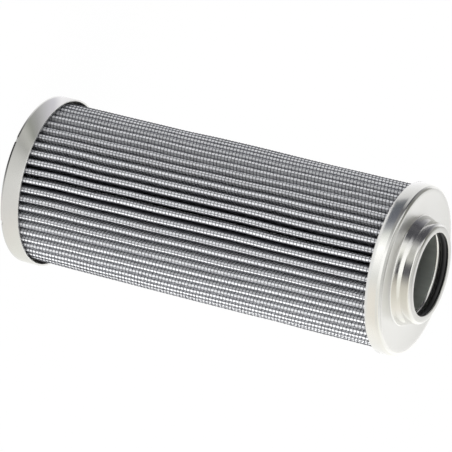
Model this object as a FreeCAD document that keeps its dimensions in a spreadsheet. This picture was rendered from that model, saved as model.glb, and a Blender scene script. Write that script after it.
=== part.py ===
# Pleated filter element for a hydraulic pressure filter.
#
# The element is a cartridge with a closed end and an open end. A pleated pack of wire mesh,
# fleece and glass fibre stands around a perforated core tube. Each end of the pack is bonded
# into a pressed steel cap. The open cap has a stepped collar with an O-ring inside, which
# seals on the spigot of the filter head.
#
# Millimetres, +Z up. The element stands on its closed end. The origin is the centre of that
# end's flat face, and Z is the axis of the element.

import FreeCAD, Part
import math
import os
import Sketcher

doc = FreeCAD.newDocument("filter_element")

# Driving dimensions

sheet = doc.addObject("Spreadsheet::Sheet", "Sizes")
DRIVING = [
    ("overall_length", 176.0, "closed end face to the rim of the collar"),
    ("cap_diameter", 70.0, "outside of both end caps"),
    ("cap_sheet", 0.8, "steel sheet of the caps and the seal retainer"),
    ("bore_diameter", 34.0, "clear bore for the spigot"),
    ("closed_skirt", 8.7, "height of the closed cap"),
    ("closed_edge_round", 1.5, "outer bend of the closed cap"),
    ("open_skirt", 6.5, "height of the open cap's skirt"),
    ("open_edge_round", 2.0, "outer bend of the open cap"),
    ("collar_rise", 6.4, "top of the open cap's edge to the rim of the collar"),
    ("crown_width", 2.6, "outside of the cap to where its face starts to dip"),
    ("face_dip", 1.4, "depth of the dished face at the collar"),
    ("step_diameter", 44.0, "wide lower ring of the collar"),
    ("step_height", 2.2, "height of the lower ring above the dished face"),
    ("shoulder_height", 2.0, "sloping shoulder between the rings of the collar"),
    ("shoulder_round", 1.2, "bend at the foot of the shoulder"),
    ("rim_round", 1.0, "outer bend of the collar's rim"),
    ("ring_section", 3.0, "thickness of the O-ring"),
    ("ring_proud", 0.2, "how far the O-ring stands into the bore"),
    ("sleeve_length", 16.0, "guide sleeve under the flange of the seal retainer"),
    ("sleeve_round", 1.0, "bend from the flange into the sleeve"),
    ("core_wall", 0.9, "wall of the core tube"),
    ("core_hole", 9.0, "diameter of the core tube's holes"),
    ("holes_around", 6, "number of holes in a row"),
    ("first_row", 18.0, "closed end face to the first row of holes"),
    ("last_row_gap", 5.35, "last row of holes to the end of the guide sleeve"),
    ("pack_room", 1.0, "room between the pleats and the skirt of a cap"),
    ("pleats", 52, "number of pleats"),
    ("pleat_width", 2.1, "thickness of a pleat at its root"),
    ("crest_width", 2.5, "thickness of a pleat at its crest, where it bulges"),
    ("first_pleat", 4.4, "degrees from X to the first crest at the closed end"),
    ("pleat_lean", 3.6, "degrees by which the pleats lean back on their way to the open end"),
    ("mesh_wall", 0.34, "outer wire mesh"),
    ("fleece_wall", 0.10, "protective fleece"),
    ("media_wall", 0.20, "glass fibre media"),
    ("inner_mesh_wall", 0.24, "inner wire mesh"),
    ("crest_rise", 0.16, "how far the rounded mesh stands above the flat folds inside it"),
    ("potting_depth", 2.0, "adhesive between the pack and a cap"),
    ("seam_width", 5.0, "side seam, measured along the pleat"),
    ("fit_gap", 0.05, "clearance of a piece around another"),
    ("layer_gap", 0.02, "clearance from one layer of the pack to the next"),
]
for row, (alias, number, note) in enumerate(DRIVING, start=1):
    sheet.set(f"A{row}", alias)
    sheet.set(f"B{row}", str(number))
    sheet.set(f"C{row}", note)
    sheet.setAlias(f"B{row}", alias)
doc.recompute()

# Radii and heights that follow from the driving dimensions

derived = doc.addObject("App::VarSet", "Derived")
FOLLOWING = [
    ("cap_r", "Sizes.cap_diameter / 2"),
    ("skirt_in_r", "Derived.cap_r - Sizes.cap_sheet"),
    ("crown_r", "Derived.cap_r - Sizes.crown_width"),
    ("step_r", "Sizes.step_diameter / 2"),
    ("step_in_r", "Derived.step_r - Sizes.cap_sheet"),
    ("bore_r", "Sizes.bore_diameter / 2"),
    ("ring_in_r", "Derived.bore_r - Sizes.ring_proud"),
    ("groove_r", "Derived.ring_in_r + Sizes.ring_section"),
    ("collar_r", "Derived.groove_r + Sizes.cap_sheet"),
    ("flange_r", "Derived.groove_r - Sizes.fit_gap"),
    ("sleeve_r", "Derived.bore_r + Sizes.cap_sheet"),
    ("core_in_r", "Derived.sleeve_r + Sizes.fit_gap"),
    ("core_r", "Derived.core_in_r + Sizes.core_wall"),
    ("potting_in_r", "Derived.core_r + Sizes.fit_gap"),
    ("potting_r", "Derived.skirt_in_r - Sizes.fit_gap"),
    ("closed_flat_r", "Derived.cap_r - Sizes.closed_edge_round"),
    ("rim", "Sizes.overall_length"),
    ("lip_under", "Derived.rim - Sizes.cap_sheet"),
    ("crown_top", "Derived.rim - Sizes.collar_rise"),
    ("crown_under", "Derived.crown_top - Sizes.cap_sheet"),
    ("crown_bend", "Derived.crown_top - Sizes.open_edge_round"),
    ("open_edge", "Derived.crown_top - Sizes.open_skirt"),
    ("foot_top", "Derived.crown_top - Sizes.face_dip"),
    ("foot_under", "Derived.foot_top - Sizes.cap_sheet"),
    ("step_top", "Derived.foot_top + Sizes.step_height"),
    ("shoulder_top", "Derived.step_top + Sizes.shoulder_height"),
    ("flange_top", "Derived.lip_under - Sizes.ring_section - Sizes.fit_gap"),
    ("flange_under", "Derived.flange_top - Sizes.cap_sheet"),
    ("sleeve_end", "Derived.flange_under - Sizes.sleeve_length"),
    ("floor_top", "Sizes.cap_sheet"),
    ("closed_edge", "Sizes.closed_skirt"),
    ("closed_bend", "Sizes.closed_edge_round"),
    ("pack_end", "Derived.floor_top + Sizes.potting_depth"),
    ("pack_top", "Derived.foot_under - Sizes.potting_depth"),
    ("hole_pitch", "(Derived.sleeve_end - Sizes.last_row_gap - Sizes.first_row) / 3"),
    ("pack_r", "Derived.skirt_in_r - Sizes.pack_room"),
    ("pleat_half", "Sizes.pleat_width / 2"),
    ("crest_half", "Sizes.crest_width / 2"),
    ("pack_wall", "Sizes.mesh_wall + Sizes.fleece_wall + Sizes.media_wall + Sizes.inner_mesh_wall"
                  " + 3 * Sizes.layer_gap"),
    ("root_r", "Derived.potting_in_r + Derived.pack_wall"),
    ("seam_r", "Derived.pack_r - Derived.pack_wall - Sizes.crest_rise - Sizes.fit_gap"),
    ("seam_tilt", "Sizes.seam_width / 2 * sin(Sizes.pleat_lean / 2)"),
    ("seam_half", "(Derived.pleat_half + Derived.crest_half) / 2 - Derived.pack_wall"
                  " - Derived.seam_tilt - Sizes.fit_gap / 2"),
]
for name, formula in FOLLOWING:
    derived.addProperty("App::PropertyFloat", name)
    derived.setExpression(name, formula)
doc.recompute()


def value(name):
    """A named size as a plain number."""
    if name in derived.PropertiesList:
        return float(getattr(derived, name))
    return float(sheet.get(name))


# Pieces with a sketch

def new_body(label):
    body = doc.addObject("PartDesign::Body", label)
    body.Label = label
    return body


def origin_item(body, role):
    return next(item for item in body.Origin.OriginFeatures if item.Role == role)


def new_sketch(body, name, plane):
    sketch = body.newObject("Sketcher::SketchObject", name)
    sketch.AttachmentSupport = [(origin_item(body, plane), "")]
    sketch.MapMode = "FlatFace"
    return sketch


def bind(sketch, kind, geometry, point, name):
    """Dimension of a sketch that follows a named size."""
    index = sketch.addConstraint(Sketcher.Constraint(kind, geometry, point, value(name)))
    sketch.setExpression(f"Constraints[{index}]", f"Derived.{name}")


def half_section(body, corners):
    """Closed outline beside the axis, with straight runs between its corners.

    A corner is a named radius and a named height. None stands for the axis or the base plane.
    """
    sketch = new_sketch(body, body.Name + "_section", "XZ_Plane")
    points = [FreeCAD.Vector(value(r) if r else 0, value(z) if z else 0, 0) for r, z in corners]
    for start, end in zip(points, points[1:] + points[:1]):
        sketch.addGeometry(Part.LineSegment(start, end), False)
    horizontal_axis, vertical_axis = -1, -2
    for line, (radius, height) in enumerate(corners):
        before = (line - 1) % len(corners)
        sketch.addConstraint(Sketcher.Constraint("Coincident", before, 2, line, 1))
        if radius:
            bind(sketch, "DistanceX", line, 1, radius)
        else:
            sketch.addConstraint(Sketcher.Constraint("PointOnObject", line, 1, vertical_axis))
        if height:
            bind(sketch, "DistanceY", line, 1, height)
        else:
            sketch.addConstraint(Sketcher.Constraint("PointOnObject", line, 1, horizontal_axis))
    return sketch


def revolved(label, corners):
    """A round piece: its half section swung once around the axis."""
    body = new_body(label)
    sketch = half_section(body, corners)
    turn = body.newObject("PartDesign::Revolution", label + "_turn")
    turn.Profile = sketch
    turn.ReferenceAxis = (sketch, ["V_Axis"])
    turn.Angle = 360
    doc.recompute()
    return body


def ring_edges(body, radius, height):
    """Names of the round edges at one radius and height."""
    names = []
    for number, edge in enumerate(body.Shape.Edges, start=1):
        curve = edge.Curve
        if isinstance(curve, Part.Circle) and math.isclose(curve.Radius, radius, abs_tol=1e-4) \
                and math.isclose(curve.Center.z, height, abs_tol=1e-4):
            names.append(f"Edge{number}")
    return names


def bend(body, radius, height, size):
    """Rounds the ring edge at a named radius and height."""
    base = body.Tip
    names = ring_edges(body, value(radius), value(height) if height else 0)
    fillet = body.newObject("PartDesign::Fillet", f"{body.Name}_bend_{radius}")
    fillet.Base = (base, names)
    fillet.setExpression("Radius", size)
    doc.recompute()


# Open end cap: one pressed sheet. Its face is dished, and the stepped collar ends in a lip
# that turns inwards over the O-ring.

open_end_cap = revolved("open_end_cap", [
    ("cap_r", "open_edge"),
    ("cap_r", "crown_top"),
    ("crown_r", "crown_top"),
    ("step_r", "foot_top"),
    ("step_r", "step_top"),
    ("collar_r", "shoulder_top"),
    ("collar_r", "rim"),
    ("bore_r", "rim"),
    ("bore_r", "lip_under"),
    ("groove_r", "lip_under"),
    ("groove_r", "shoulder_top"),
    ("step_in_r", "step_top"),
    ("step_in_r", "foot_under"),
    ("crown_r", "crown_under"),
    ("skirt_in_r", "crown_under"),
    ("skirt_in_r", "open_edge"),
])
bend(open_end_cap, "cap_r", "crown_top", "Sizes.open_edge_round")
bend(open_end_cap, "skirt_in_r", "crown_under", "Sizes.open_edge_round - Sizes.cap_sheet")
bend(open_end_cap, "step_r", "step_top", "Sizes.shoulder_round")
bend(open_end_cap, "collar_r", "rim", "Sizes.rim_round")

# Closed end cap: a plain pressed cup, which the element stands on

closed_end_cap = revolved("closed_end_cap", [
    (None, None),
    ("cap_r", None),
    ("cap_r", "closed_edge"),
    ("skirt_in_r", "closed_edge"),
    ("skirt_in_r", "floor_top"),
    (None, "floor_top"),
])
bend(closed_end_cap, "cap_r", None, "Sizes.closed_edge_round")
bend(closed_end_cap, "skirt_in_r", "floor_top", "Sizes.closed_edge_round - Sizes.cap_sheet")

# Seal retainer: a pressed ring. Its flange carries the O-ring, and its sleeve guides the
# spigot and covers the top of the core tube.

seal_retainer = revolved("seal_retainer", [
    ("bore_r", "flange_top"),
    ("bore_r", "sleeve_end"),
    ("sleeve_r", "sleeve_end"),
    ("sleeve_r", "flange_under"),
    ("flange_r", "flange_under"),
    ("flange_r", "flange_top"),
])
bend(seal_retainer, "bore_r", "flange_top", "Sizes.sleeve_round")

# O-ring of the open end, squeezed between the lip and the seal retainer

o_ring = doc.addObject("Part::Torus", "o_ring")
o_ring.Label = "o_ring"
o_ring.setExpression("Radius1", "Derived.ring_in_r + Sizes.ring_section / 2")
o_ring.setExpression("Radius2", "Sizes.ring_section / 2")
o_ring.setExpression("Placement.Base.z", "Derived.lip_under - Sizes.ring_section / 2")

# Adhesive in both caps. Each ring is cast against the inside of its cap.

closed_end_potting = revolved("closed_end_potting", [
    ("potting_in_r", "floor_top"),
    ("closed_flat_r", "floor_top"),
    ("potting_r", "closed_bend"),
    ("potting_r", "pack_end"),
    ("potting_in_r", "pack_end"),
])

open_end_potting = revolved("open_end_potting", [
    ("potting_in_r", "pack_top"),
    ("potting_r", "pack_top"),
    ("potting_r", "crown_bend"),
    ("crown_r", "crown_under"),
    ("step_in_r", "foot_under"),
    ("potting_in_r", "foot_under"),
])

# Core tube: a plain tube with rows of round holes, each row turned by half a hole spacing
# from the one below. It stands on the closed cap and carries the seal retainer.

core_tube = revolved("core_tube", [
    ("core_in_r", "floor_top"),
    ("core_r", "floor_top"),
    ("core_r", "flange_under"),
    ("core_in_r", "flange_under"),
])


def hole_rows(plane, height, rows):
    """Rows of round holes, the first at a height. Each cut goes through both sides of the tube."""
    name = f"holes_{plane[:2]}"
    sketch = new_sketch(core_tube, name + "_sketch", plane)
    circle = Part.Circle(FreeCAD.Vector(0, value("first_row"), 0), FreeCAD.Vector(0, 0, 1),
                         value("core_hole") / 2)
    sketch.addGeometry(circle, False)
    diameter = sketch.addConstraint(Sketcher.Constraint("Diameter", 0, value("core_hole")))
    sketch.setExpression(f"Constraints[{diameter}]", "Sizes.core_hole")
    sketch.addConstraint(Sketcher.Constraint("PointOnObject", 0, 3, -2))
    centre = sketch.addConstraint(Sketcher.Constraint("DistanceY", 0, 3, value("first_row")))
    sketch.setExpression(f"Constraints[{centre}]", height)
    pocket = core_tube.newObject("PartDesign::Pocket", name)
    pocket.Profile = sketch
    pocket.Type = "ThroughAll"
    pocket.Midplane = True
    doc.recompute()
    pattern = core_tube.newObject("PartDesign::MultiTransform", name + "_pattern")
    pattern.Originals = [pocket]
    around = core_tube.newObject("PartDesign::PolarPattern", name + "_around")
    around.Axis = (origin_item(core_tube, "Z_Axis"), [""])
    around.setExpression("Angle", "180 - 360 / Sizes.holes_around")
    around.setExpression("Occurrences", "Sizes.holes_around / 2")
    up = core_tube.newObject("PartDesign::LinearPattern", name + "_up")
    up.Direction = (origin_item(core_tube, "Z_Axis"), [""])
    up.setExpression("Length", f"Derived.hole_pitch * {rows - 1}")
    up.Occurrences = rows
    pattern.Transformations = [around, up]
    core_tube.Tip = pattern
    doc.recompute()


hole_rows("XZ_Plane", "Sizes.first_row", rows=4)
hole_rows("YZ_Plane", "Sizes.first_row + Derived.hole_pitch / 2", rows=3)

# Pleated pack. Every layer is one closed pleated sheet. The layers nest from the outside
# inwards. The pleats lean a little round the axis on their way up, all by the same angle.

PLEATS = int(value("pleats"))
HALF_PITCH = math.pi / PLEATS
LAYERS = [
    ("outer_mesh", "mesh_wall"),
    ("protective_fleece", "fleece_wall"),
    ("filter_media", "media_wall"),
    ("inner_mesh", "inner_mesh_wall"),
]


def pleat_angle(number):
    """Direction of a pleat at the closed end."""
    return math.radians(value("first_pleat")) + 2 * number * HALF_PITCH


def pleated_outline(depth, round_crests):
    """Closed wire of the pleats, at a depth under the outside of the pack."""
    half = value("pleat_half") - depth
    wide = value("crest_half") - depth
    root = (value("root_r") - depth - half * math.sin(HALF_PITCH)) / math.cos(HALF_PITCH)
    shoulder = value("pack_r") - (wide if round_crests else depth + value("crest_rise"))
    pleats = []
    for number in range(PLEATS):
        angle = pleat_angle(number)
        outward = FreeCAD.Vector(math.cos(angle), math.sin(angle), 0)
        sideways = FreeCAD.Vector(-math.sin(angle), math.cos(angle), 0)
        corners = [outward * radius + sideways * side
                   for radius, side in ((root, -half), (shoulder, -wide), (shoulder, wide), (root, half))]
        pleats.append((corners, outward * value("pack_r")))
    edges = []
    for number, (corners, crest) in enumerate(pleats):
        next_root = pleats[(number + 1) % PLEATS][0][0]
        edges.append(Part.makeLine(corners[0], corners[1]))
        if round_crests:
            edges.append(Part.Arc(corners[1], crest, corners[2]).toShape())
        else:
            edges.append(Part.makeLine(corners[1], corners[2]))
        edges.append(Part.makeLine(corners[2], corners[3]))
        edges.append(Part.makeLine(corners[3], next_root))
    return Part.Wire(edges)


def leaning_solid(outline):
    """Solid from an outline at the closed end to the same outline, turned, at the open end.

    From one level to the next the outline turns by less than half a pleat, so that each pleat
    goes on into itself and not into the one beside it.
    """
    steps = int(value("pleat_lean") / math.degrees(HALF_PITCH)) + 1
    levels = []
    for step in range(steps + 1):
        level = outline.copy()
        level.rotate(FreeCAD.Vector(), FreeCAD.Vector(0, 0, 1), -value("pleat_lean") * step / steps)
        rise = (value("pack_top") - value("pack_end")) * step / steps
        level.translate(FreeCAD.Vector(0, 0, value("pack_end") + rise))
        levels.append(level)
    return Part.makeLoft(levels, True, True)


def pleated_layer(label, depth, wall, round_crests):
    """One sheet of the pack, from the adhesive of one cap to that of the other."""
    outside = leaning_solid(pleated_outline(depth, round_crests))
    inside = leaning_solid(pleated_outline(depth + wall, False))
    layer = doc.addObject("Part::Feature", label)
    layer.Label = label
    layer.Shape = outside.cut(inside)
    return layer


layers = []
depth = 0.0
for label, wall_name in LAYERS:
    layers.append(pleated_layer(label, depth, value(wall_name), round_crests=not layers))
    depth += value(wall_name) + value("layer_gap")

# Side seam: the flat strip of adhesive inside the pleat where the two ends of the pack meet.
# Its middle leans with the pleat, and its flat sides face as the pleat does half way up.

seam_angle = pleat_angle(PLEATS // 4)
seam_lean = math.radians(value("pleat_lean"))
seam_middle_r = value("seam_r") - value("seam_width") / 2
seam_corners = [
    FreeCAD.Vector(along * value("seam_width") / 2, across * value("seam_half"), 0)
    for along, across in ((-1, -1), (1, -1), (1, 1), (-1, 1))
]
seam_outline = Part.makePolygon([*seam_corners, seam_corners[0]])
seam_outline.rotate(FreeCAD.Vector(), FreeCAD.Vector(0, 0, 1), math.degrees(seam_angle - seam_lean / 2))
seam_ends = []
for angle, height in ((seam_angle, "pack_end"), (seam_angle - seam_lean, "pack_top")):
    seam_end = seam_outline.copy()
    seam_end.translate(FreeCAD.Vector(
        seam_middle_r * math.cos(angle), seam_middle_r * math.sin(angle), value(height)))
    seam_ends.append(seam_end)
side_seam = doc.addObject("Part::Feature", "side_seam")
side_seam.Label = "side_seam"
side_seam.Shape = Part.makeLoft(seam_ends, True, True)

# Check and write the pieces

PIECES = [
    open_end_cap, seal_retainer, o_ring, open_end_potting, *layers, side_seam, core_tube,
    closed_end_potting, closed_end_cap,
]
doc.recompute()
for item in doc.Objects:
    if "Invalid" in item.State or "Error" in item.State:
        raise RuntimeError(f"{item.Label} failed: {item.State}")
for piece in PIECES:
    if piece.Shape.isNull() or not piece.Shape.isValid():
        raise RuntimeError(f"{piece.Label} has no valid shape")
os.makedirs("parts", exist_ok=True)
for piece in PIECES:
    piece.Shape.exportStep(f"parts/{piece.Label}.step")
    print(piece.Label, len(piece.Shape.Solids), round(piece.Shape.Volume, 1))
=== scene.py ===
import bpy
import math
from mathutils import Matrix, Vector


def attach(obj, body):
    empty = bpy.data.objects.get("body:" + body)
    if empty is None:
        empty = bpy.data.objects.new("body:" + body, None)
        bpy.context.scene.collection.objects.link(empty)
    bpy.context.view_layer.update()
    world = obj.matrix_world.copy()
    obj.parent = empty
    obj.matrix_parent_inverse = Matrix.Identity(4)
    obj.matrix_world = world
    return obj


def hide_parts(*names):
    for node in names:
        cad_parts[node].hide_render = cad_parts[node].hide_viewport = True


# The looks of a pleated hydraulic filter element. Its lengths are in millimetres until they are
# given to Blender. The element stands on its closed end and +Z is its axis.

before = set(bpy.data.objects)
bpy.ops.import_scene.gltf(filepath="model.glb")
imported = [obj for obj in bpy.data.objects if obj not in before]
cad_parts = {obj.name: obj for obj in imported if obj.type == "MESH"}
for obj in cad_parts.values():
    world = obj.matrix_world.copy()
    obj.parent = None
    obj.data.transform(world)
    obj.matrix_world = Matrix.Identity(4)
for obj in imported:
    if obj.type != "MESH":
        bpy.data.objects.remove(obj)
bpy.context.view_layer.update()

MM = 0.001

# Caps. The open one rises from its edge to a crown, dips to the foot of the collar, and goes up
# over a step and a shoulder to the rim. The walls of the step and the collar lean inwards.
CAP_R = 35.0
SHEET = 0.8
CLOSED_SKIRT, FOOT_BEND = 8.7, 1.5
OPEN_EDGE = 163.1
CROWN_R, CROWN_TOP = 32.4, 169.6
FOOT_TOP = 168.2
STEP_R, STEP_TOP, STEP_LEAN = 22.0, 170.4, 0.7
COLLAR_R, SHOULDER_TOP, WALL_LEAN = 20.6, 172.0, 0.5
BORE_R, RIM = 17.0, 176.0
GROOVE_R = 19.8

# Seal retainer and O-ring
FLANGE_R, FLANGE_TOP = GROOVE_R - 0.05, 172.15
DIP_R, FLANGE_DIP, DIP_BEND = 19.3, 0.85, 0.85
SLEEVE_END = 155.35
SEAL_R, SEAL_SECTION, MOULD_LINE = 18.3, 1.5, 0.12

# Stake marks in the bend at the foot of the closed cap
MARKS, FIRST_MARK = 6, math.radians(-112)
MARK_HALF, MARK_TOP, MARK_EDGE = 0.9, 1.7, 0.1
MARK_UP, MARK_IN = 0.8, 0.3

# Pleated pack. A depth is measured from the outside of the pack into it. Leg stops are the
# points of a pleat's straight sides, as lengths along the fold from its crest.
PACK_R, PACK_END, PACK_TOP = 33.2, 2.8, 165.4
PLEATS = 52
PLEAT_ANGLE = 2 * math.pi / PLEATS
FIRST_PLEAT = math.radians(3.9)
PLEAT_LEAN = math.radians(3.6)
CREST_HALF, ROOT_HALF = 1.25, 1.05
ROOT_TOP = 19.84
LEG_STOPS = (8.0, 3.5)
VALLEY_STEP = 0.25
WEAVE_DEPTH = 0.17
FLEECE_DEPTH, FLEECE_WALL = 0.34, 0.1
MEDIA_DEPTH, MEDIA_WALL = 0.46, 0.18
INNER_DEPTH, INNER_WALL = 0.66, 0.15
WAVE_LENGTH, WAVE_HEIGHT = 22, 0.45
SEAM_R = (27.05, 32.05)
SEAM_HALF = 0.1
SEAM_ROWS = 10

# Woven wire
WIRE_R = 0.14
WIRE_PITCH = 1.475
FIRST_WIRE = PACK_END + 0.75
ROWS = 110
WIRES_PER_PLEAT = 20
WIRE_VALLEY_STEP = 0.3

# The wires across are crimped up to this length along the fold from a crest, and the wires
# along the element up to this many gaps from it
CRIMP, CRIMP_REACH, CRIMPED_GAPS = 0.1, 3.0, 1.6

# Straight wires are drawn in more steps where they lie within this length of a crest, so that
# they follow the waves of the folds
NEAR_CREST, NEAR_STEPS, FAR_STEPS = 6.0, 18, 6


# Modelling helpers

def start_piece(name):
    """A piece that starts as one vertex at the origin, in edit mode."""
    bpy.ops.object.select_all(action="DESELECT")
    bpy.ops.mesh.primitive_plane_add(size=0.001, location=(0, 0, 0))
    piece = bpy.context.object
    piece.name = name
    piece.data.name = name
    bpy.ops.object.mode_set(mode="EDIT")
    bpy.ops.mesh.select_mode(type="VERT")
    bpy.ops.mesh.select_all(action="SELECT")
    bpy.ops.mesh.merge(type="CENTER")
    return piece


def draw_chain(points):
    """Moves the selected vertex to the first point and extrudes it from point to point."""
    previous = Vector(points[0]) * MM
    bpy.ops.transform.translate(value=previous)
    for point in points[1:]:
        here = Vector(point) * MM
        bpy.ops.mesh.extrude_region_move(TRANSFORM_OT_translate={"value": here - previous})
        previous = here


def select_vertices(piece, wanted):
    """Selects the vertices whose place in millimetres passes a test."""
    bpy.ops.mesh.select_mode(type="VERT")
    bpy.ops.mesh.select_all(action="DESELECT")
    bpy.ops.object.mode_set(mode="OBJECT")
    for vertex in piece.data.vertices:
        vertex.select = bool(wanted(vertex.co / MM))
    bpy.ops.object.mode_set(mode="EDIT")


def select_faces(piece, wanted):
    """Selects the faces whose middle in millimetres and whose direction pass a test."""
    bpy.ops.mesh.select_mode(type="FACE")
    bpy.ops.mesh.select_all(action="DESELECT")
    bpy.ops.object.mode_set(mode="OBJECT")
    for face in piece.data.polygons:
        face.select = bool(wanted(face.center / MM, face.normal))
    bpy.ops.object.mode_set(mode="EDIT")


def smooth(piece, angle=40):
    """Smooth shading that keeps edges sharper than the angle."""
    bpy.ops.object.mode_set(mode="OBJECT")
    bpy.ops.object.select_all(action="DESELECT")
    piece.select_set(True)
    bpy.context.view_layer.objects.active = piece
    bpy.ops.object.shade_smooth_by_angle(angle=math.radians(angle))


def lathe(name, corners, rounds, steps=180):
    """A round piece: its half section drawn corner by corner, its bends rounded, then spun.

    A corner is (radius, height). A bend is (corner number, bend radius, segments).
    """
    piece = start_piece(name)
    draw_chain([(radius, 0, height) for radius, height in corners])
    bpy.ops.mesh.select_all(action="SELECT")
    bpy.ops.mesh.edge_face_add()
    bpy.ops.mesh.delete(type="ONLY_FACE")
    for number, size, segments in rounds:
        radius, height = corners[number]
        select_vertices(piece, lambda at: math.hypot(at.x - radius, at.z - height) < 0.001)
        bpy.ops.mesh.bevel(
            offset=size * MM, offset_type="OFFSET", segments=segments, affect="VERTICES")
    bpy.ops.mesh.select_all(action="SELECT")
    bpy.ops.mesh.spin(steps=steps, angle=2 * math.pi, center=(0, 0, 0), axis=(0, 0, 1))
    bpy.ops.mesh.select_all(action="SELECT")
    bpy.ops.mesh.remove_doubles(threshold=0.002 * MM)
    bpy.ops.mesh.normals_make_consistent(inside=False)
    smooth(piece)
    return piece


def repeat_round(piece, copies):
    """Copies everything in the piece evenly round the axis."""
    bpy.ops.object.select_all(action="DESELECT")
    piece.select_set(True)
    bpy.context.view_layer.objects.active = piece
    bpy.ops.object.mode_set(mode="EDIT")
    bpy.ops.mesh.select_all(action="SELECT")
    bpy.ops.mesh.spin(
        steps=copies - 1, dupli=True, angle=2 * math.pi * (copies - 1) / copies,
        center=(0, 0, 0), axis=(0, 0, 1))
    bpy.ops.object.mode_set(mode="OBJECT")


def apply_modifier(piece, kind, **settings):
    bpy.ops.object.select_all(action="DESELECT")
    piece.select_set(True)
    bpy.context.view_layer.objects.active = piece
    bpy.ops.object.modifier_add(type=kind)
    modifier = piece.modifiers[-1]
    for name, setting in settings.items():
        setattr(modifier, name, setting)
    bpy.ops.object.modifier_apply(modifier=modifier.name)


# Camera: the element lies across the picture, so the camera is turned on its side

CAMERA_TILT = math.radians(23.14)
CAMERA_ROLL = math.radians(13.8805)
CAMERA_RIGHT, CAMERA_UP, CAMERA_AWAY = 76.1, -19.6, 1647.2
CAMERA_LENS = 318.6

raised = Vector((0, math.sin(CAMERA_TILT), math.cos(CAMERA_TILT)))
sideways = Vector((-1, 0, 0))
towards_camera = Vector((0, -math.cos(CAMERA_TILT), math.sin(CAMERA_TILT)))
camera_right = math.cos(CAMERA_ROLL) * raised + math.sin(CAMERA_ROLL) * sideways
camera_up = math.cos(CAMERA_ROLL) * sideways - math.sin(CAMERA_ROLL) * raised
camera_place = (
    CAMERA_RIGHT * camera_right + CAMERA_UP * camera_up + CAMERA_AWAY * towards_camera) * MM

camera_data = bpy.data.cameras.new("camera")
camera_data.lens = CAMERA_LENS
camera_data.sensor_width = 36
camera_data.clip_start = 0.05
camera_data.clip_end = 50
camera = bpy.data.objects.new("camera", camera_data)
bpy.context.scene.collection.objects.link(camera)
camera.matrix_world = Matrix((
    (camera_right.x, camera_up.x, towards_camera.x, camera_place.x),
    (camera_right.y, camera_up.y, towards_camera.y, camera_place.y),
    (camera_right.z, camera_up.z, towards_camera.z, camera_place.z),
    (0, 0, 0, 1),
))
bpy.context.scene.camera = camera
bpy.context.scene.view_settings.view_transform = "Standard"


# Materials

def colour(hex_code):
    """Linear colour of an sRGB hex value."""
    parts = [int(hex_code[i:i + 2], 16) / 255 for i in (0, 2, 4)]
    linear = [c / 12.92 if c <= 0.04045 else ((c + 0.055) / 1.055) ** 2.4 for c in parts]
    return (*linear, 1.0)


def new_material(name):
    material = bpy.data.materials.new(name)
    material.use_nodes = True
    material.node_tree.nodes.clear()
    return material


def add_node(material, kind, inputs=None, **settings):
    """Adds a node with its settings, and puts a number, colour or link on each input given.

    Sockets that share a name are given by number, as the colours of a mix node are.
    """
    node = material.node_tree.nodes.new(kind)
    for name, setting in settings.items():
        setattr(node, name, setting)
    for socket, source in (inputs or {}).items():
        if isinstance(source, bpy.types.NodeSocket):
            material.node_tree.links.new(source, node.inputs[socket])
        else:
            node.inputs[socket].default_value = source
    return node


def pattern_scale(marks, length):
    """Scale of a pattern that has so many marks in a length in millimetres."""
    return marks / (length * MM)


def give(piece, material):
    """Gives a material to a whole piece."""
    piece.data.materials.clear()
    piece.data.materials.append(material)


def give_faces(piece, material, wanted):
    """Gives one more material to the faces that pass a test, in the piece just made."""
    piece.data.materials.append(material)
    bpy.ops.object.mode_set(mode="EDIT")
    select_faces(piece, wanted)
    piece.active_material_index = len(piece.data.materials) - 1
    bpy.ops.object.material_slot_assign()
    bpy.ops.object.mode_set(mode="OBJECT")


def steel_sheet(name, roughness, ripple, tones):
    """Nickel-plated sheet steel with soft smears of handling and a faint ripple.

    The smears take the roughness and the tone from the first value to the second.
    """
    material = new_material(name)
    place = add_node(material, "ShaderNodeTexCoord")
    smears = add_node(material, "ShaderNodeTexNoise", {
        "Vector": place.outputs["Object"], "Scale": pattern_scale(9, 100),
        "Detail": 4.0, "Roughness": 0.6})
    gloss = add_node(material, "ShaderNodeMapRange", {
        "Value": smears.outputs["Fac"], "From Min": 0.3, "From Max": 0.7,
        "To Min": roughness[0], "To Max": roughness[1]})
    tone = add_node(material, "ShaderNodeMix", {
        "Factor": smears.outputs["Fac"], 6: colour(tones[0]), 7: colour(tones[1])},
        data_type="RGBA")
    waves = add_node(material, "ShaderNodeTexNoise", {
        "Vector": place.outputs["Object"], "Scale": pattern_scale(3, 10), "Detail": 2.0})
    bumps = add_node(material, "ShaderNodeBump", {
        "Height": waves.outputs["Fac"], "Strength": ripple, "Distance": 0.4 * MM})
    shader = add_node(material, "ShaderNodeBsdfPrincipled", {
        "Base Color": tone.outputs[2], "Metallic": 1.0, "Roughness": gloss.outputs["Result"],
        "Normal": bumps.outputs["Normal"]})
    add_node(material, "ShaderNodeOutputMaterial", {"Surface": shader.outputs["BSDF"]})
    return material


# Walls that slid along the press die are burnished and mirror what stands round them. Flat
# faces keep the satin surface of the sheet. The flat top of the rim, where the lip of the collar
# is turned in, has a greyer copy of the satin steel: painted shade that darkens it.
burnished_steel = steel_sheet(
    "nickel_plated_burnished_wall", roughness=(0.10, 0.18), ripple=0.05,
    tones=("DCDCDA", "E6E5E2"))
satin_steel = steel_sheet(
    "nickel_plated_satin_face", roughness=(0.33, 0.39), ripple=0.03,
    tones=("DCDCDA", "E6E5E2"))
rim_painted_shade_steel = steel_sheet(
    "nickel_plated_rim_painted_shade", roughness=(0.33, 0.39), ripple=0.03,
    tones=("CECECB", "D7D6D3"))

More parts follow.
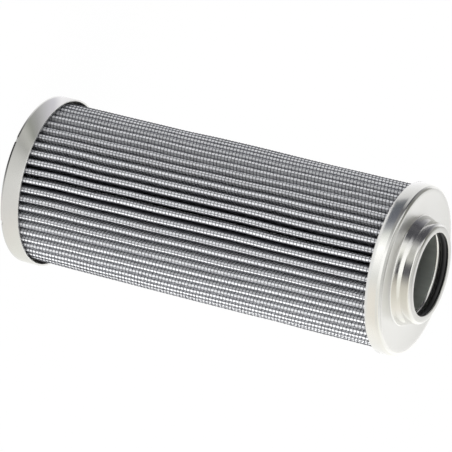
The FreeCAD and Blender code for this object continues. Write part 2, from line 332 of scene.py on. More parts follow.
# Drawn sleeve under the seal: dull grey with fine lines along the draw, made coarser than real
# ones so that they show
drawn_sleeve = new_material("dull_drawn_sleeve")
place = add_node(drawn_sleeve, "ShaderNodeTexCoord")
stretch = add_node(drawn_sleeve, "ShaderNodeMapping", {
    "Vector": place.outputs["Object"],
    "Scale": (pattern_scale(42, 100), pattern_scale(42, 100), pattern_scale(2.5, 100))})
lines = add_node(drawn_sleeve, "ShaderNodeTexNoise", {
    "Vector": stretch.outputs["Vector"], "Scale": 1.0, "Detail": 2.0})
tone = add_node(drawn_sleeve, "ShaderNodeMix", {
    "Factor": lines.outputs["Fac"], 6: colour("CDD2CF"), 7: colour("EDF0ED")}, data_type="RGBA")
shader = add_node(drawn_sleeve, "ShaderNodeBsdfPrincipled", {
    "Base Color": tone.outputs[2], "Metallic": 1.0, "Roughness": 0.46})
add_node(drawn_sleeve, "ShaderNodeOutputMaterial", {"Surface": shader.outputs["BSDF"]})

# Nitrile rubber, moulded: black with a dull sheen. Its grain is made coarser than a real one so
# that it shows.
rubber = new_material("nitrile_rubber_moulded")
place = add_node(rubber, "ShaderNodeTexCoord")
grain = add_node(rubber, "ShaderNodeTexNoise", {
    "Vector": place.outputs["Object"], "Scale": pattern_scale(15, 10), "Detail": 2.0})
bumps = add_node(rubber, "ShaderNodeBump", {
    "Height": grain.outputs["Fac"], "Strength": 0.15, "Distance": 0.1 * MM})
shader = add_node(rubber, "ShaderNodeBsdfPrincipled", {
    "Base Color": colour("161618"), "Roughness": 0.42, "IOR": 1.52,
    "Normal": bumps.outputs["Normal"]})
add_node(rubber, "ShaderNodeOutputMaterial", {"Surface": shader.outputs["BSDF"]})

# Wire with a baked epoxy coat: dark grey, slightly blue and patchy, with a soft gloss
coated_wire = new_material("epoxy_coated_woven_wire")
place = add_node(coated_wire, "ShaderNodeTexCoord")
coat = add_node(coated_wire, "ShaderNodeTexNoise", {
    "Vector": place.outputs["Object"], "Scale": pattern_scale(12, 100), "Detail": 3.0})
tone = add_node(coated_wire, "ShaderNodeMix", {
    "Factor": coat.outputs["Fac"], 6: colour("44454B"), 7: colour("5B5C63")}, data_type="RGBA")
shader = add_node(coated_wire, "ShaderNodeBsdfPrincipled", {
    "Base Color": tone.outputs[2], "Roughness": 0.38, "IOR": 1.5})
add_node(coated_wire, "ShaderNodeOutputMaterial", {"Surface": shader.outputs["BSDF"]})

# Spun polyester fleece: white, matt and faintly cloudy. Its fibres are too fine to show, so
# the pattern is clumps of them.
fleece = new_material("spun_polyester_fleece")
place = add_node(fleece, "ShaderNodeTexCoord")
fibres = add_node(fleece, "ShaderNodeTexNoise", {
    "Vector": place.outputs["Object"], "Scale": pattern_scale(7, 10),
    "Detail": 5.0, "Roughness": 0.7})
tone = add_node(fleece, "ShaderNodeMix", {
    "Factor": fibres.outputs["Fac"], 6: colour("C9CACD"), 7: colour("E1E2E4")}, data_type="RGBA")
bumps = add_node(fleece, "ShaderNodeBump", {
    "Height": fibres.outputs["Fac"], "Strength": 0.3, "Distance": 0.1 * MM})
shader = add_node(fleece, "ShaderNodeBsdfPrincipled", {
    "Base Color": tone.outputs[2], "Roughness": 0.85, "Normal": bumps.outputs["Normal"]})
add_node(fleece, "ShaderNodeOutputMaterial", {"Surface": shader.outputs["BSDF"]})

# Zinc-plated tube steel: dull grey with a faint spangle
zinc_tube = new_material("zinc_plated_tube")
place = add_node(zinc_tube, "ShaderNodeTexCoord")
spangle = add_node(zinc_tube, "ShaderNodeTexVoronoi", {
    "Vector": place.outputs["Object"], "Scale": pattern_scale(4.5, 10)})
gloss = add_node(zinc_tube, "ShaderNodeMapRange", {
    "Value": spangle.outputs["Distance"], "To Min": 0.35, "To Max": 0.5})
shader = add_node(zinc_tube, "ShaderNodeBsdfPrincipled", {
    "Base Color": colour("9A9C98"), "Metallic": 1.0, "Roughness": gloss.outputs["Result"]})
add_node(zinc_tube, "ShaderNodeOutputMaterial", {"Surface": shader.outputs["BSDF"]})

# Glass fibre mat: off-white with a felted surface, whose tufts stand for finer fibres
fibre_mat = new_material("glass_fibre_mat")
place = add_node(fibre_mat, "ShaderNodeTexCoord")
felt = add_node(fibre_mat, "ShaderNodeTexNoise", {
    "Vector": place.outputs["Object"], "Scale": pattern_scale(9, 10), "Detail": 6.0})
tone = add_node(fibre_mat, "ShaderNodeMix", {
    "Factor": felt.outputs["Fac"], 6: colour("D8D6CE"), 7: colour("F0EFEA")}, data_type="RGBA")
shader = add_node(fibre_mat, "ShaderNodeBsdfPrincipled", {
    "Base Color": tone.outputs[2], "Roughness": 0.9})
add_node(fibre_mat, "ShaderNodeOutputMaterial", {"Surface": shader.outputs["BSDF"]})

# Epoxy adhesive, cast in the caps: grey-brown and slightly glossy, with broad streaks where it
# flowed
adhesive = new_material("cast_epoxy_adhesive")
place = add_node(adhesive, "ShaderNodeTexCoord")
flow = add_node(adhesive, "ShaderNodeTexNoise", {
    "Vector": place.outputs["Object"], "Scale": pattern_scale(6, 100), "Detail": 3.0})
tone = add_node(adhesive, "ShaderNodeMix", {
    "Factor": flow.outputs["Fac"], 6: colour("4F4A40"), 7: colour("6B665A")}, data_type="RGBA")
shader = add_node(adhesive, "ShaderNodeBsdfPrincipled", {
    "Base Color": tone.outputs[2], "Roughness": 0.35})
add_node(adhesive, "ShaderNodeOutputMaterial", {"Surface": shader.outputs["BSDF"]})

for node_name, material in (
    ("core_tube", zinc_tube),
    ("open_end_potting", adhesive),
    ("closed_end_potting", adhesive),
):
    cad_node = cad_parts[node_name]
    for slot in cad_node.material_slots:
        slot.material = material


def lies_flat(at, facing):
    """Whether a face looks up or down, to within 10 degrees."""
    return abs(facing.z) > 0.985


# Open end cap

open_cap = lathe("open_cap_shell", [
    (CAP_R, OPEN_EDGE),
    (CAP_R, CROWN_TOP),
    (CROWN_R, CROWN_TOP),
    (STEP_R + STEP_LEAN / 2, FOOT_TOP),
    (STEP_R - STEP_LEAN / 2, STEP_TOP),
    (COLLAR_R + WALL_LEAN / 2, SHOULDER_TOP),
    (COLLAR_R - WALL_LEAN / 2, RIM),
    (BORE_R, RIM),
    (BORE_R, RIM - SHEET),
    (GROOVE_R, RIM - SHEET),
    (GROOVE_R, SHOULDER_TOP),
    (STEP_R - SHEET, STEP_TOP),
    (STEP_R - SHEET, FOOT_TOP - SHEET),
    (CROWN_R, CROWN_TOP - SHEET),
    (CAP_R - SHEET, CROWN_TOP - SHEET),
    (CAP_R - SHEET, OPEN_EDGE),
], [
    (0, 0.15, 2), (1, 2.0, 10), (2, 0.7, 4), (3, 0.5, 4), (4, 0.5, 5), (5, 0.35, 4), (6, 1.6, 10),
    (7, 0.25, 3), (8, 0.2, 3), (14, 1.2, 5), (15, 0.15, 2),
])
give(open_cap, burnished_steel)
give_faces(open_cap, satin_steel, lies_flat)
# The flat top of the rim takes the greyer copy of the satin steel: painted shade.
give_faces(open_cap, rim_painted_shade_steel, lambda at, facing: facing.z > 0.9 and at.z > RIM - 0.2)
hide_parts("open_end_cap")
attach(open_cap, "root")

# Closed end cap

closed_cap = lathe("closed_cap_shell", [
    (0, 0),
    (CAP_R, 0),
    (CAP_R, CLOSED_SKIRT),
    (CAP_R - SHEET, CLOSED_SKIRT),
    (CAP_R - SHEET, SHEET),
    (0, SHEET),
], [(1, FOOT_BEND, 8), (2, 0.15, 2), (3, 0.15, 2), (4, 0.7, 4)])
give(closed_cap, burnished_steel)
give_faces(closed_cap, satin_steel, lies_flat)

# Small stake marks, pressed upwards and inwards into the bend at the foot of the cap
bpy.ops.object.mode_set(mode="EDIT")
for mark in range(MARKS):
    mark_angle = FIRST_MARK + 2 * math.pi * mark / MARKS
    outward = Vector((math.cos(mark_angle), math.sin(mark_angle), 0))
    select_faces(closed_cap, lambda at, facing: (
        at.dot(outward) > CAP_R - FOOT_BEND and 0.01 < at.z < MARK_TOP
        and abs(at.x * outward.y - at.y * outward.x) < MARK_HALF))
    bpy.ops.mesh.inset(thickness=MARK_EDGE * MM)
    bpy.ops.transform.translate(value=(Vector((0, 0, MARK_UP)) - outward * MARK_IN) * MM)
bpy.ops.object.mode_set(mode="OBJECT")
smooth(closed_cap)
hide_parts("closed_end_cap")
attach(closed_cap, "root")

# Seal retainer. Its flange dips a little towards the bore, where it bends into the sleeve. The
# bend is burnished, and the rest is dull.

retainer = lathe("seal_retainer_ring", [
    (BORE_R, FLANGE_TOP - FLANGE_DIP),
    (BORE_R, SLEEVE_END),
    (BORE_R + SHEET, SLEEVE_END),
    (BORE_R + SHEET, FLANGE_TOP - SHEET),
    (FLANGE_R, FLANGE_TOP - SHEET),
    (FLANGE_R, FLANGE_TOP),
    (DIP_R, FLANGE_TOP),
], [(0, DIP_BEND, 8), (1, 0.15, 2), (2, 0.15, 2), (3, 0.25, 3)])
give(retainer, burnished_steel)
give_faces(retainer, drawn_sleeve, lambda at, facing: (
    at.z < FLANGE_TOP - FLANGE_DIP - DIP_BEND + 0.05
    or math.hypot(at.x, at.y) > BORE_R + 0.65))
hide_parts("seal_retainer")
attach(retainer, "root")

# O-ring, with the thin line that the two halves of its mould leave at the bore

bpy.ops.object.select_all(action="DESELECT")
bpy.ops.mesh.primitive_torus_add(
    major_segments=144, minor_segments=24,
    major_radius=SEAL_R * MM, minor_radius=SEAL_SECTION * MM,
    location=(0, 0, (RIM - SHEET - SEAL_SECTION) * MM))
seal = bpy.context.object
seal.name = "bore_seal_ring"
bpy.ops.object.transform_apply(location=True, rotation=False, scale=False)
bpy.ops.object.mode_set(mode="EDIT")
select_vertices(seal, lambda at: math.hypot(at.x, at.y) < SEAL_R - SEAL_SECTION + 0.01)
bpy.ops.mesh.bevel(offset=MOULD_LINE * MM, segments=2, affect="EDGES")
smooth(seal, 60)
give(seal, rubber)
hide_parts("o_ring")
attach(seal, "root")


# Pleated pack. One pleat is drawn from the middle of a valley, over its crest, to the middle
# of the next valley, and then repeated round the axis.

def pleat_point(along, depth, lift=0.0):
    """Point of a pleat, at a length along the fold from its crest and a depth into the pack.

    The pleat stands on +X. Lift moves the point out of the sheet.
    """
    wide = CREST_HALF - depth
    narrow = ROOT_HALF - depth
    centre = PACK_R - CREST_HALF
    quarter = wide * math.pi / 2
    leg = centre - ROOT_TOP
    side = math.copysign(1, along)
    length = abs(along)
    if length <= quarter:
        turn = length / wide
        reach = wide + lift
        return Vector((centre + reach * math.cos(turn), side * reach * math.sin(turn), 0))
    if length <= quarter + leg:
        down = length - quarter
        half = wide + (narrow - wide) * down / leg
        return Vector((centre - down, side * (half + lift), 0))
    over = length - quarter - leg
    return Vector((ROOT_TOP - depth + lift, side * (narrow + over), 0))


def half_fold(depth):
    """Length from the crest of a pleat to the middle of the valley beside it."""
    valley = math.sin(PLEAT_ANGLE / 2) * (ROOT_TOP - depth) - (ROOT_HALF - depth)
    return (CREST_HALF - depth) * math.pi / 2 + PACK_R - CREST_HALF - ROOT_TOP + valley


fold_waves = bpy.data.textures.new("fold_waves", "CLOUDS")
fold_waves.cloud_type = "COLOR"
fold_waves.noise_scale = WAVE_LENGTH * MM
fold_waves.noise_depth = 0


def settle(piece):
    """Leans and waves the folds as in a pack that was pleated and bonded by machine."""
    apply_modifier(
        piece, "SIMPLE_DEFORM", deform_method="TWIST", deform_axis="Z", angle=-PLEAT_LEAN)
    apply_modifier(
        piece, "DISPLACE", texture=fold_waves, texture_coords="LOCAL",
        direction="RGB_TO_XYZ", mid_level=0.5, strength=WAVE_HEIGHT * MM)


def turn_pack(angle):
    """Turns the selection about the axis of the element, counted the same way as X towards Y."""
    bpy.ops.transform.rotate(value=-angle, orient_axis="Z", center_override=(0, 0, 0))


def pleated_sheet(name, node_name, material, depth, thickness, bends, rows):
    """A folded sheet at a depth under the outside of the pack."""
    half_length = half_fold(depth)
    quarter_turn = (CREST_HALF - depth) * math.pi / 2
    stops = [half_length, half_length - VALLEY_STEP, *LEG_STOPS]
    stops += [quarter_turn * (bends - bend) / bends for bend in range(bends + 1)]
    outline = [pleat_point(-stop, depth) for stop in stops]
    outline += [pleat_point(stop, depth) for stop in reversed(stops[:-1])]
    sheet = start_piece(name)
    draw_chain([(at.x, at.y, PACK_END) for at in outline])
    bpy.ops.mesh.select_all(action="SELECT")
    turn_pack(FIRST_PLEAT)
    bpy.ops.object.mode_set(mode="OBJECT")
    repeat_round(sheet, PLEATS)
    bpy.ops.object.mode_set(mode="EDIT")
    bpy.ops.mesh.select_all(action="SELECT")
    bpy.ops.mesh.remove_doubles(threshold=0.1 * MM)
    for _ in range(rows):
        bpy.ops.mesh.extrude_region_move(
            TRANSFORM_OT_translate={"value": (0, 0, (PACK_TOP - PACK_END) / rows * MM)})
    bpy.ops.mesh.select_all(action="SELECT")
    bpy.ops.mesh.normals_make_consistent(inside=False)
    bpy.ops.object.mode_set(mode="OBJECT")
    apply_modifier(sheet, "SOLIDIFY", thickness=thickness * MM, offset=-1)
    settle(sheet)
    smooth(sheet, 50)
    give(sheet, material)
    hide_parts(node_name)
    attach(sheet, "root")


pleated_sheet("fleece_sheet", "protective_fleece", fleece,
              FLEECE_DEPTH, FLEECE_WALL, bends=3, rows=18)
pleated_sheet("fibre_sheet", "filter_media", fibre_mat,
              MEDIA_DEPTH, MEDIA_WALL, bends=2, rows=10)
pleated_sheet("inner_mesh_sheet", "inner_mesh", coated_wire,
              INNER_DEPTH, INNER_WALL, bends=1, rows=10)

# Strip of adhesive that joins the two ends of the pack, inside a fold a quarter of the way round

seam_strip = start_piece("seam_strip")
draw_chain([(SEAM_R[0], -SEAM_HALF, PACK_END), (SEAM_R[1], -SEAM_HALF, PACK_END)])
bpy.ops.mesh.select_all(action="SELECT")
bpy.ops.mesh.extrude_region_move(TRANSFORM_OT_translate={"value": (0, 2 * SEAM_HALF * MM, 0)})
bpy.ops.mesh.select_all(action="SELECT")
turn_pack(FIRST_PLEAT + PLEATS // 4 * PLEAT_ANGLE)
for _ in range(SEAM_ROWS):
    bpy.ops.mesh.extrude_region_move(
        TRANSFORM_OT_translate={"value": (0, 0, (PACK_TOP - PACK_END) / SEAM_ROWS * MM)})
bpy.ops.mesh.select_all(action="SELECT")
bpy.ops.mesh.normals_make_consistent(inside=False)
bpy.ops.object.mode_set(mode="OBJECT")
settle(seam_strip)
give(seam_strip, adhesive)
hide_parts("side_seam")
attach(seam_strip, "root")

# Woven wire. The wires across the element follow the folds, and those along it run straight.
# Near the crests, where the weave shows, each wire passes over one crossing wire and under the
# next.

WEAVE_HALF = half_fold(WEAVE_DEPTH)
WEAVE_QUARTER = (CREST_HALF - WEAVE_DEPTH) * math.pi / 2
WIRE_GAP = 2 * WEAVE_HALF / WIRES_PER_PLEAT

# How far the wires of four pleats, side by side, stand along the fold, in gaps between wires
WIRE_SHIFTS = (0.0, 0.15, 0.35, -0.2)

bpy.ops.object.select_all(action="DESELECT")
bpy.ops.mesh.primitive_circle_add(vertices=3, radius=WIRE_R * MM, fill_type="NOTHING")
wire_section = bpy.context.object
wire_section.name = "wire_section"
bpy.ops.object.convert(target="CURVE")


def thicken(piece):
    """Turns drawn lines into wire."""
    bpy.ops.object.mode_set(mode="OBJECT")
    bpy.ops.object.select_all(action="DESELECT")
    piece.select_set(True)
    bpy.context.view_layer.objects.active = piece
    bpy.ops.object.convert(target="CURVE")
    piece = bpy.context.object
    piece.data.bevel_mode = "OBJECT"
    piece.data.bevel_object = wire_section
    piece.data.use_fill_caps = True
    bpy.ops.object.convert(target="MESH")
    return bpy.context.object


def next_line():
    """Starts another line in the piece that is being drawn, as one vertex at the origin."""
    bpy.ops.mesh.select_all(action="DESELECT")
    bpy.ops.mesh.primitive_plane_add(size=0.001, location=(0, 0, 0))
    bpy.ops.mesh.merge(type="CENTER")


def finish_wires(piece, pleat):
    """Turns one pleat's wires to their place and repeats them round the pack."""
    bpy.ops.object.select_all(action="DESELECT")
    piece.select_set(True)
    bpy.context.view_layer.objects.active = piece
    bpy.ops.object.mode_set(mode="EDIT")
    bpy.ops.mesh.select_all(action="SELECT")
    turn_pack(FIRST_PLEAT + PLEAT_ANGLE * pleat)
    bpy.ops.object.mode_set(mode="OBJECT")
    repeat_round(piece, PLEATS // len(WIRE_SHIFTS))
    settle(piece)
    give(piece, coated_wire)
    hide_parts("outer_mesh")
    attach(piece, "root")


leg_stops = [WEAVE_HALF, WEAVE_HALF - WIRE_VALLEY_STEP, *LEG_STOPS]
weft_stops = [-stop for stop in leg_stops]
weft_stops += [WEAVE_QUARTER * step / 4 for step in range(-4, 5)]
weft_stops += reversed(leg_stops)

for pleat, shift in enumerate(WIRE_SHIFTS):
    # Wires across: two rows of the weave, which are then stacked
    weft = start_piece(f"mesh_wires_across_{pleat + 1}")
    for row in (0, 1):
        if row:
            next_line()
        line = []
        for stop in weft_stops:
            crimp = CRIMP if abs(stop) < CRIMP_REACH else 0
            lift = crimp * math.cos(math.pi * (stop / WIRE_GAP - shift + row))
            at = pleat_point(stop, WEAVE_DEPTH, lift)
            line.append((at.x, at.y, FIRST_WIRE + row * WIRE_PITCH))
        draw_chain(line)
    weft = thicken(weft)
    apply_modifier(
        weft, "ARRAY", count=ROWS // 2, use_relative_offset=False,
        use_constant_offset=True, constant_offset_displace=(0, 0, 2 * WIRE_PITCH * MM))
    finish_wires(weft, pleat)

    # Wires along the element
    warp = start_piece(f"mesh_wires_along_{pleat + 1}")
    first_number = -WIRES_PER_PLEAT // 2
    for number in range(first_number, first_number + WIRES_PER_PLEAT):
        along = (number + shift) * WIRE_GAP
        if along < -WEAVE_HALF:
            along += 2 * WEAVE_HALF
        if number > first_number:
            next_line()
        line = []
        if abs(along) < CRIMPED_GAPS * WIRE_GAP:
            for row in range(ROWS + 1):
                lift = -CRIMP * math.cos(math.pi * (number + row))
                at = pleat_point(along, WEAVE_DEPTH, lift)
                line.append((at.x, at.y, FIRST_WIRE + row * WIRE_PITCH))
        else:
            at = pleat_point(along, WEAVE_DEPTH)
            steps = NEAR_STEPS if abs(along) < NEAR_CREST else FAR_STEPS
            for step in range(steps + 1):
                line.append((at.x, at.y, PACK_END + step * (PACK_TOP - PACK_END) / steps))
        draw_chain(line)
    warp = thicken(warp)
    finish_wires(warp, pleat)

bpy.data.objects.remove(wire_section)


# Stage: a pale floor, soft light, and screens that show only in reflections. The floor's size
# and the lamps' places are in metres.

FLOOR_SIZE = 12
FLOOR_SHOWN_WHITE = 0.98

# The floor takes light as pale paint, but reflections show it white. The camera sees it white
# too, with a small share of the paint, so that the element's shadow shows.
pale_floor = new_material("pale_floor")
rays = add_node(pale_floor, "ShaderNodeLightPath")
paint = add_node(pale_floor, "ShaderNodeBsdfDiffuse", {"Color": colour("F4F4F4")})
white = add_node(pale_floor, "ShaderNodeEmission", {"Color": (1, 1, 1, 1), "Strength": 1.0})
seen = add_node(pale_floor, "ShaderNodeMath", {
    0: rays.outputs["Is Camera Ray"], 1: FLOOR_SHOWN_WHITE}, operation="MULTIPLY")
mirrored = add_node(pale_floor, "ShaderNodeMath", {
    0: rays.outputs["Is Glossy Ray"], 1: rays.outputs["Is Transmission Ray"]}, operation="ADD")
share = add_node(pale_floor, "ShaderNodeMath", {
    0: seen.outputs[0], 1: mirrored.outputs[0]}, operation="ADD", use_clamp=True)
mix = add_node(pale_floor, "ShaderNodeMixShader", {
    0: share.outputs[0], 1: paint.outputs["BSDF"], 2: white.outputs["Emission"]})
add_node(pale_floor, "ShaderNodeOutputMaterial", {"Surface": mix.outputs["Shader"]})

bpy.ops.object.select_all(action="DESELECT")
bpy.ops.mesh.primitive_plane_add(size=FLOOR_SIZE, location=(0, 0, -0.2 * MM))
floor = bpy.context.object
floor.name = "floor"
give(floor, pale_floor)


def lamp(name, place, power, tint):
    """A soft square light that faces the middle of the element."""
    middle = Vector((0, 0, 0.09))
    data = bpy.data.lights.new(name, "AREA")
    data.size = 1.3
    data.energy = power
    data.color = tint
    light = bpy.data.objects.new(name, data)
    bpy.context.scene.collection.objects.link(light)
    light.location = place
    light.rotation_mode = "QUATERNION"
    light.rotation_quaternion = (Vector(place) - middle).to_track_quat("Z", "Y")
    light.visible_glossy = False


lamp("table_bounce", (1.1, -0.45, 0.15), 33, (1.0, 1.0, 0.98))
lamp("far_bounce", (-1.1, -0.1, 0.2), 4, (0.98, 0.98, 1.0))

# What the burnished steel reflects, as (azimuth in degrees, red, green, blue). The low ring
# shows in the skirt of the open cap, the middle ring in the upper wall of the collar, the step
# ring in its lower wall and the high ring on its shoulder. The crown ring shows in the outer
# part of the rounded edge of the open cap. The floor ring shows in the skirt of the closed cap,
# and the contact ring along its foot.
LOW_RING = [
    (-180, 0.30, 0.31, 0.32), (-170, 0.15, 0.16, 0.18), (-154, 0.16, 0.17, 0.20),
    (-144, 0.20, 0.21, 0.24), (-134, 0.42, 0.43, 0.45), (-124, 0.94, 0.96, 0.92),
    (-108, 1.42, 1.42, 1.40), (-88, 1.20, 1.20, 1.18), (-72, 0.95, 0.96, 0.93),
    (-50, 1.00, 0.96, 0.89), (-20, 1.02, 0.98, 0.90), (8, 1.14, 1.12, 1.06),
    (60, 1.10, 1.10, 1.08), (95, 1.18, 1.18, 1.18), (130, 1.10, 1.10, 1.12),
    (160, 0.94, 0.94, 0.94), (171, 0.84, 0.84, 0.84), (177, 0.68, 0.68, 0.69),
]
MIDDLE_RING = [
    (-180, 0.10, 0.10, 0.11), (-168, 0.08, 0.08, 0.09), (-156, 0.14, 0.14, 0.15),
    (-146, 0.42, 0.42, 0.42), (-137, 0.66, 0.66, 0.64), (-122, 0.58, 0.58, 0.55),
    (-108, 0.66, 0.66, 0.62), (-97, 0.22, 0.22, 0.22), (-88, 0.13, 0.13, 0.14),
    (-78, 0.15, 0.15, 0.16), (-65, 0.44, 0.43, 0.40), (-50, 0.74, 0.71, 0.63),
    (-28, 0.82, 0.79, 0.70), (2, 0.91, 0.88, 0.80), (34, 1.10, 1.10, 1.04),
    (50, 1.28, 1.28, 1.23), (82, 1.22, 1.22, 1.20), (92, 1.02, 1.02, 1.00),
    (120, 0.92, 0.92, 0.92), (133, 0.70, 0.70, 0.71), (146, 0.34, 0.34, 0.36),
    (162, 0.15, 0.15, 0.17), (172, 0.10, 0.10, 0.11),
]
STEP_RING = [
    (-180, 0.12, 0.12, 0.13), (-166, 0.08, 0.08, 0.09), (-154, 0.10, 0.10, 0.11),
    (-147, 0.40, 0.40, 0.40), (-139, 1.00, 1.00, 0.98), (-122, 1.06, 1.06, 1.00),
    (-108, 0.48, 0.49, 0.45), (-97, 0.09, 0.09, 0.09), (-80, 0.07, 0.07, 0.08),
    (-66, 0.44, 0.42, 0.38), (-50, 0.74, 0.70, 0.62), (-20, 0.92, 0.89, 0.80),
    (5, 1.06, 1.02, 0.94), (30, 1.16, 1.16, 1.12), (50, 1.32, 1.32, 1.29),
    (84, 1.34, 1.34, 1.32), (94, 1.16, 1.16, 1.16), (118, 1.16, 1.16, 1.16),
    (135, 0.72, 0.72, 0.73), (147, 0.36, 0.36, 0.38), (160, 0.18, 0.18, 0.20),
    (172, 0.09, 0.09, 0.10),
]
HIGH_RING = [
    (-180, 0.08, 0.08, 0.09), (-171, 0.08, 0.08, 0.09), (-162, 0.30, 0.30, 0.31),
    (-154, 0.60, 0.60, 0.62), (-144, 0.92, 0.92, 0.92), (-130, 1.20, 1.20, 1.18),
    (-110, 1.32, 1.32, 1.30), (-80, 1.30, 1.30, 1.26), (-60, 1.08, 1.08, 1.00),
    (-30, 1.06, 1.04, 0.96), (0, 1.16, 1.16, 1.08), (40, 1.20, 1.20, 1.16),
    (60, 1.24, 1.24, 1.22), (92, 1.10, 1.10, 1.10), (98, 1.02, 1.02, 1.02),
    (104, 0.40, 0.40, 0.38), (125, 0.34, 0.34, 0.32), (145, 0.34, 0.34, 0.34),
    (160, 0.16, 0.16, 0.17), (170, 0.09, 0.09, 0.10),
]
FLOOR_RING = [
    (-180, 1.04, 1.03, 1.06), (-169, 0.76, 0.75, 0.80), (-160, 0.69, 0.68, 0.72),
    (-150, 0.57, 0.57, 0.58), (-141, 0.44, 0.44, 0.44), (-131, 0.37, 0.38, 0.35),
    (-122, 0.58, 0.58, 0.55), (-113, 0.49, 0.49, 0.47), (-102, 0.68, 0.68, 0.66),
    (-92, 0.75, 0.75, 0.73), (-82, 0.82, 0.82, 0.80), (-60, 0.84, 0.83, 0.81),
    (-40, 0.90, 0.88, 0.84), (-15, 0.94, 0.94, 0.89), (15, 0.96, 0.96, 0.93),
    (150, 0.95, 0.95, 0.95),
]
CROWN_RING = [
    (-180, 1.24, 1.24, 1.24), (-171, 1.15, 1.15, 1.15), (-163, 1.08, 1.08, 1.08),
    (-155, 0.95, 0.95, 0.95), (-146, 0.87, 0.87, 0.87), (-138, 0.62, 0.62, 0.62),
    (-130, 0.16, 0.16, 0.17), (-121, 0.29, 0.29, 0.29), (-113, 0.44, 0.44, 0.43),
    (-105, 0.85, 0.85, 0.84), (-96, 1.30, 1.30, 1.28), (-88, 1.27, 1.27, 1.25),
    (-80, 1.15, 1.15, 1.12), (-71, 0.96, 0.96, 0.92), (-50, 0.96, 0.94, 0.88),
    (-38, 1.08, 1.06, 1.00), (-20, 1.16, 1.15, 1.10), (0, 1.22, 1.22, 1.18),
    (120, 1.20, 1.20, 1.20),
]
CONTACT_RING = [
    (-180, 1.05, 1.05, 1.05), (-150, 1.00, 1.00, 1.00), (-142, 0.85, 0.85, 0.85),
    (-134, 0.62, 0.62, 0.62), (-127, 0.30, 0.30, 0.30), (-119, 0.12, 0.12, 0.12),
    (-100, 0.06, 0.06, 0.06), (-93, 0.14, 0.14, 0.14), (-86, 0.30, 0.30, 0.30),
    (-78, 0.62, 0.62, 0.61), (-66, 0.84, 0.84, 0.82), (0, 0.94, 0.94, 0.92),
    (150, 1.00, 1.00, 1.00),
]

# Light over the element, as (X in millimetres, red, green, blue). It shows in the face of the
# open cap and in the inner part of the cap's rounded edge.
ABOVE = 550
NEAR_ABOVE = [
    (-350, 1.20, 1.20, 1.18), (-300, 1.10, 1.10, 1.08), (-262, 0.44, 0.44, 0.43),
    (-213, 0.54, 0.54, 0.52), (-136, 0.74, 0.74, 0.72), (0, 0.70, 0.70, 0.68),
    (98, 0.70, 0.70, 0.68), (175, 0.80, 0.80, 0.78), (252, 0.88, 0.88, 0.86),
    (350, 1.00, 1.00, 0.98),
]
FAR_ABOVE = [
    (-600, 0.22, 0.22, 0.20), (-165, 0.22, 0.22, 0.20), (-149, 0.31, 0.31, 0.29),
    (-118, 0.60, 0.60, 0.57), (-87, 0.80, 0.80, 0.78), (-56, 0.62, 0.62, 0.60),
    (-24, 0.52, 0.52, 0.50), (40, 0.52, 0.52, 0.50), (72, 0.74, 0.74, 0.72),
    (103, 0.85, 0.85, 0.83), (133, 0.92, 0.92, 0.90), (164, 0.98, 0.98, 0.96),
    (300, 1.10, 1.10, 1.08), (800, 1.20, 1.20, 1.18),
]


def glow(name, shape, stops, shift=0.0):
    """Light that changes along a gradient, which is moved along X by the shift.

    A stop is (share of the way, red, green, blue).
    """
    material = new_material(name)
    place = add_node(material, "ShaderNodeTexCoord")
    moved = add_node(material, "ShaderNodeMapping", {
        "Vector": place.outputs["Object"], "Location": (shift, 0, 0)})
    gradient = add_node(material, "ShaderNodeTexGradient", {
        "Vector": moved.outputs["Vector"]}, gradient_type=shape)
    ramp = add_node(material, "ShaderNodeValToRGB", {"Fac": gradient.outputs["Fac"]})
    elements = ramp.color_ramp.elements
    elements[0].position, elements[0].color = 0, (*stops[0][1:], 1)
    elements[1].position, elements[1].color = 1, (*stops[-1][1:], 1)
    for share, *light in stops[1:-1]:
        elements.new(share).color = (*light, 1)
    shine = add_node(material, "ShaderNodeEmission", {
        "Color": ramp.outputs["Color"], "Strength": 1.0})
    add_node(material, "ShaderNodeOutputMaterial", {"Surface": shine.outputs["Emission"]})
    return material


def ring_light(name, lights):
    """Light that changes with the azimuth round the element."""
    stops = [((angle + 180) / 360, *light) for angle, *light in lights]
    return glow(name, "RADIAL", stops + [(1, *lights[0][1:])])


def only_in_steel(name, material):
    """Makes the screen just added part of the stage, seen only in what reflects it."""
    piece = bpy.context.object
    piece.name = name
    give(piece, material)
    piece.visible_camera = False
    piece.visible_diffuse = False
    piece.visible_shadow = False
    piece.visible_transmission = False


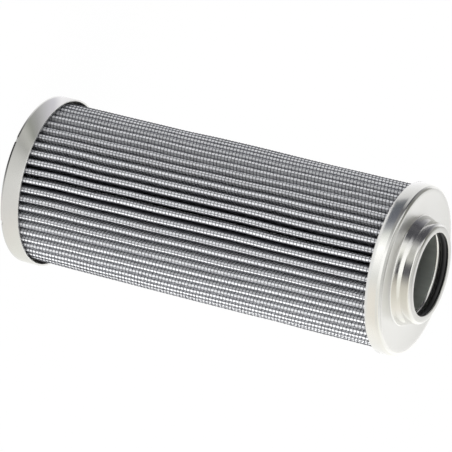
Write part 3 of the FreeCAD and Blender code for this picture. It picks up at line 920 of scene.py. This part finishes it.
# Screens that stand round the element
for name, radius, low, high, lights in (
    ("low_screen", 230, 20, 122, LOW_RING),
    ("middle_screen", 300, 96, 188, MIDDLE_RING),
    ("step_screen", 300, 188, 286, STEP_RING),
    ("high_screen", 300, 286, 420, HIGH_RING),
    ("crown_screen", 36, 167.3, 169.5, CROWN_RING),
):
    bpy.ops.mesh.primitive_cylinder_add(
        vertices=96, radius=radius * MM, depth=(high - low) * MM, end_fill_type="NOTHING",
        location=(0, 0, (low + high) / 2 * MM))
    only_in_steel(name, ring_light(name, lights))

# Screens that lie round its foot
for name, radius, height, lights in (
    ("floor_screen", 180, -0.12, FLOOR_RING),
    ("contact_screen", 36.4, -0.06, CONTACT_RING),
):
    bpy.ops.mesh.primitive_circle_add(
        vertices=96, radius=radius * MM, fill_type="NGON", location=(0, 0, height * MM))
    only_in_steel(name, ring_light(name, lights))

# Screens above it, with a gradient from the left edge to the right one. It would start at the
# middle, so it is moved by half the width.
for name, near, far, lights in (
    ("near_above", -420, 40, NEAR_ABOVE),
    ("far_above", 40, 860, FAR_ABOVE),
):
    left, right = lights[0][0], lights[-1][0]
    bpy.ops.mesh.primitive_plane_add(
        size=1, location=((left + right) / 2 * MM, (near + far) / 2 * MM, ABOVE * MM))
    bpy.context.object.scale = ((right - left) * MM, (far - near) * MM, 1)
    stops = [((x - left) / (right - left), *light) for x, *light in lights]
    only_in_steel(name, glow(name, "LINEAR", stops, 0.5))

# The world lights the element softly, and shows as white
world = bpy.data.worlds.new("studio")
bpy.context.scene.world = world
world.use_nodes = True
world.node_tree.nodes.clear()
rays = add_node(world, "ShaderNodeLightPath")
seen = add_node(world, "ShaderNodeMath", {
    0: rays.outputs["Is Camera Ray"], 1: rays.outputs["Is Glossy Ray"]}, operation="ADD")
share = add_node(world, "ShaderNodeMath", {
    0: seen.outputs[0], 1: rays.outputs["Is Transmission Ray"]}, operation="ADD", use_clamp=True)
lit = add_node(world, "ShaderNodeBackground", {"Color": colour("FAFAFA"), "Strength": 1.0})
shown = add_node(world, "ShaderNodeBackground", {"Color": (1, 1, 1, 1), "Strength": 1.0})
mix = add_node(world, "ShaderNodeMixShader", {
    0: share.outputs[0], 1: lit.outputs["Background"], 2: shown.outputs["Background"]})
add_node(world, "ShaderNodeOutputWorld", {"Surface": mix.outputs["Shader"]})
